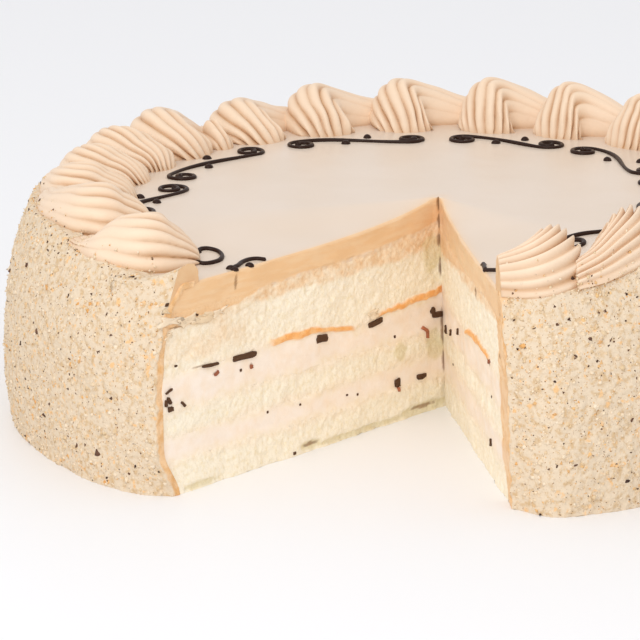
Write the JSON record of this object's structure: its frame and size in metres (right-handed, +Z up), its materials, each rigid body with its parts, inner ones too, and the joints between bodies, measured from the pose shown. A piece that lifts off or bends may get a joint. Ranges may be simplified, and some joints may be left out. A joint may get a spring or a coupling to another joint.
{
  "type": "espresso layer cake with a slice missing",
  "caption": "Round sponge layer cake in coffee icing with chopped nuts on its side, a piped shell border and drizzled scrolls, standing on its base with one wedge cut out.",
  "frame": {"origin": "on the cake's own axis, in the flat base that it stands on", "axes": "+Z up through the cake; -Y points out of the missing slice, towards the viewer"},
  "size_m": [0.2552, 0.2472, 0.0837],
  "materials": {
    "sponge": "open crumb",
    "cream": "smooth",
    "icing": "satin",
    "buttercream": "satin"
  },
  "bodies": {
    "root": {"sponge_bottom": "sponge", "cream_lower": "cream", "sponge_middle": "sponge", "cream_upper": "cream", "sponge_top": "sponge", "coffee_icing": "icing", "shell_01": "buttercream", "shell_02": "buttercream", "shell_03": "buttercream", "shell_04": "buttercream", "shell_05": "buttercream", "shell_06": "buttercream", "shell_07": "buttercream", "shell_08": "buttercream", "shell_09": "buttercream", "shell_10": "buttercream", "shell_11": "buttercream", "shell_12": "buttercream", "shell_13": "buttercream", "shell_14": "buttercream", "shell_15": "buttercream", "shell_16": "buttercream", "shell_17": "buttercream", "shell_18": "buttercream", "shell_19": "buttercream", "shell_20": "buttercream", "shell_21": "buttercream", "shell_join": "buttercream"}
  },
  "joints": []
}
